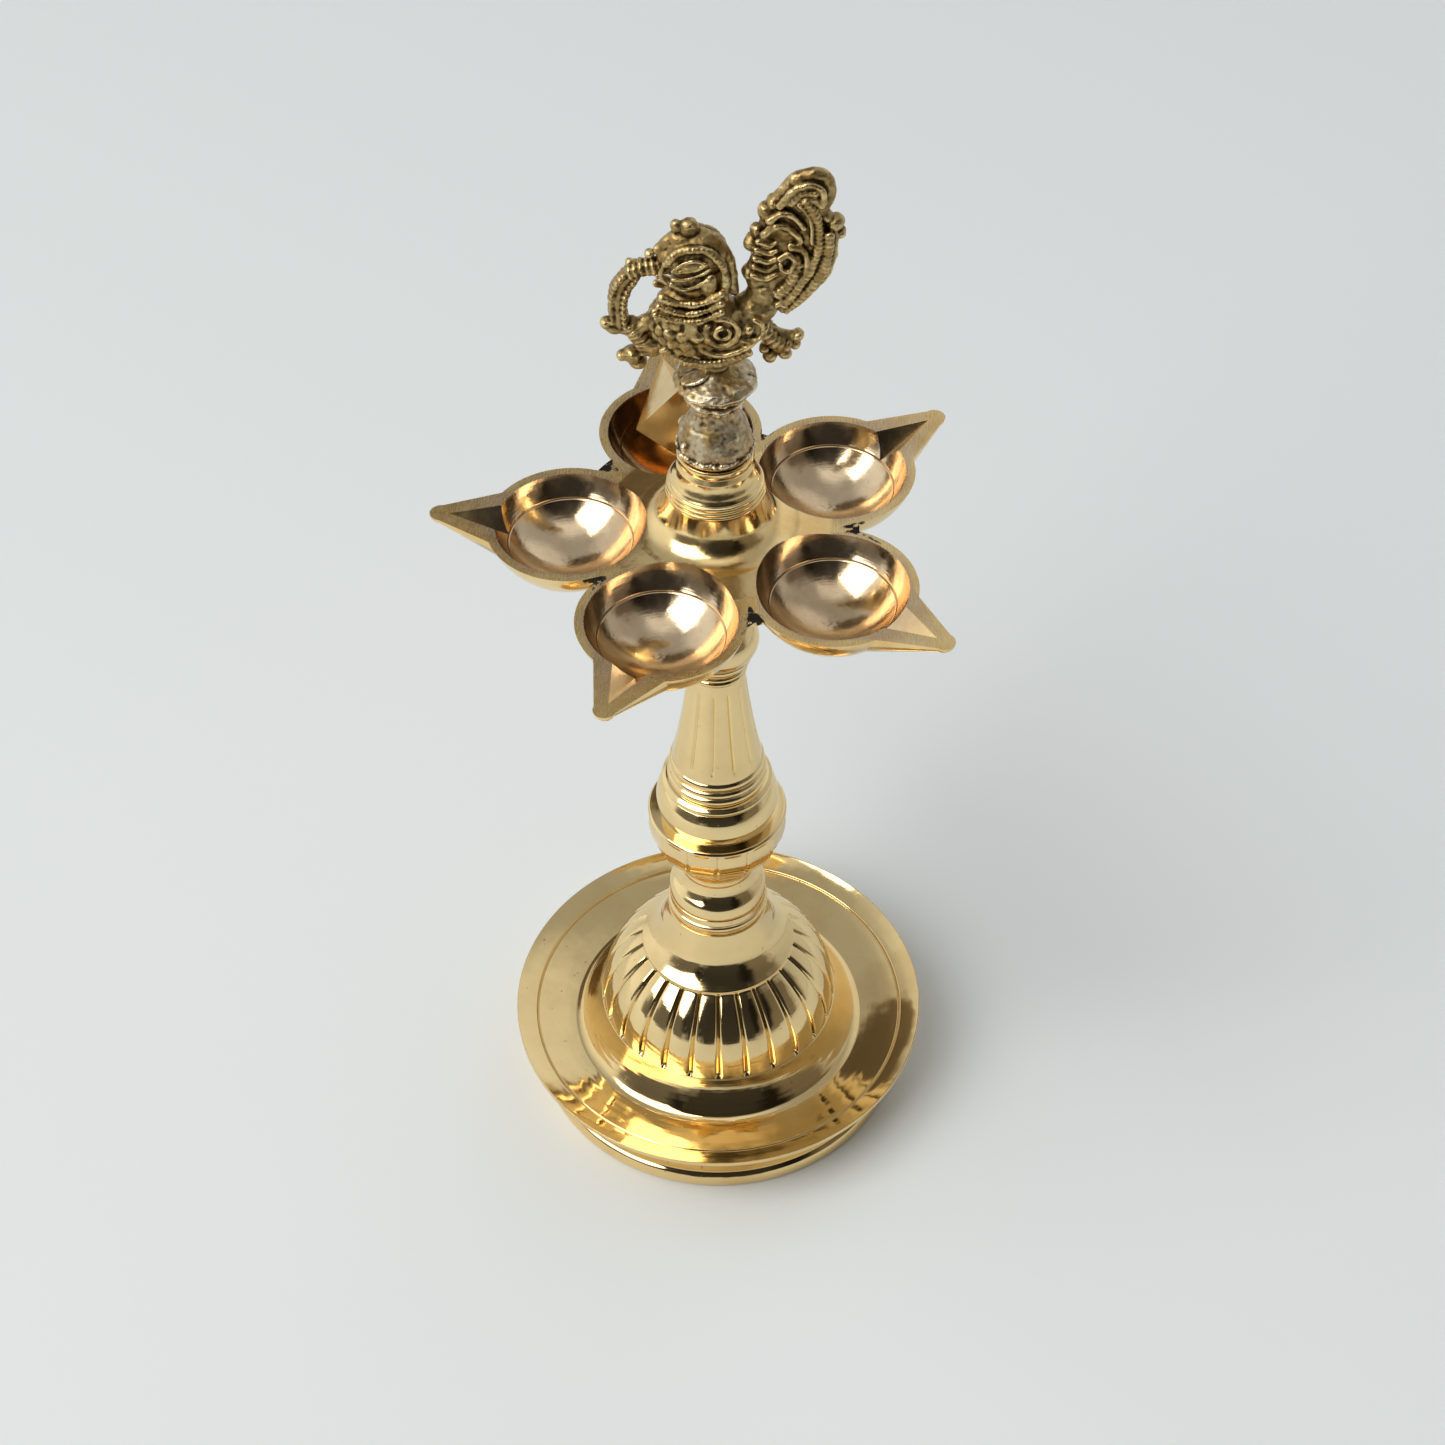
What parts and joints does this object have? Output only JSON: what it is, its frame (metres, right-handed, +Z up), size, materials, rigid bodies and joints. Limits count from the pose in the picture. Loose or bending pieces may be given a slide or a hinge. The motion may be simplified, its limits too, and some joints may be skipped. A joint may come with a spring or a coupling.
{
  "type": "standing oil lamp",
  "caption": "Standing brass oil lamp with a drip dish foot, ribbed dome, turned stem, spouted oil bowls around a flared hub, and a cast peacock finial.",
  "frame": {"origin": "centre of the bounding box's footprint on the table; the lamp's own axis stands 5.9 mm to +X and 0.2 mm to -Y of it", "axes": "+Z up along the lamp's axis; the bird looks towards -X, and its flat side faces -Y"},
  "size_m": [0.1264, 0.1317, 0.305],
  "materials": {
    "dish_brass": "polished deep gold brass",
    "pale_brass": "turned and polished pale brass",
    "bowl_brass": "turned brass with stains and residue",
    "cast_brass": "rough cast brass with dark patina",
    "steel": "plain threaded steel"
  },
  "bodies": {
    "foot": {"foot_dish": "dish_brass", "ribbed_dome": "pale_brass", "base_washer": "steel", "base_nut": "steel", "base_tie_stud": "steel"},
    "lower_stem": {"lower_stem": "pale_brass", "stem_joint_stud": "steel"},
    "upper_stem": {"upper_stem": "pale_brass", "head_joint_stud": "steel"},
    "head": {"lamp_head_hub": "pale_brass", "oil_bowl_1": "bowl_brass", "oil_bowl_2": "bowl_brass", "oil_bowl_3": "bowl_brass", "oil_bowl_4": "bowl_brass", "oil_bowl_5": "bowl_brass", "finial_joint_stud": "steel"},
    "finial": {"finial_pedestal": "cast_brass", "peacock": "cast_brass"}
  },
  "joints": [
    {"name": "lower_stem_screw", "type": "hinge", "parent": "foot", "child": "lower_stem", "pos_m": [0.0059, -0.0002, 0.0636], "axis": [0, 0, 1], "range_deg": [0, 3900]},
    {"name": "upper_stem_screw", "type": "hinge", "parent": "lower_stem", "child": "upper_stem", "pos_m": [0.0059, -0.0002, 0.1128], "axis": [0, 0, 1], "range_deg": [0, 3650]},
    {"name": "head_screw", "type": "hinge", "parent": "upper_stem", "child": "head", "pos_m": [0.0059, -0.0002, 0.1803], "axis": [0, 0, 1], "range_deg": [0, 3360]},
    {"name": "finial_screw", "type": "hinge", "parent": "head", "child": "finial", "pos_m": [0.0059, -0.0002, 0.2263], "axis": [0, 0, 1], "range_deg": [0, 2940]}
  ]
}
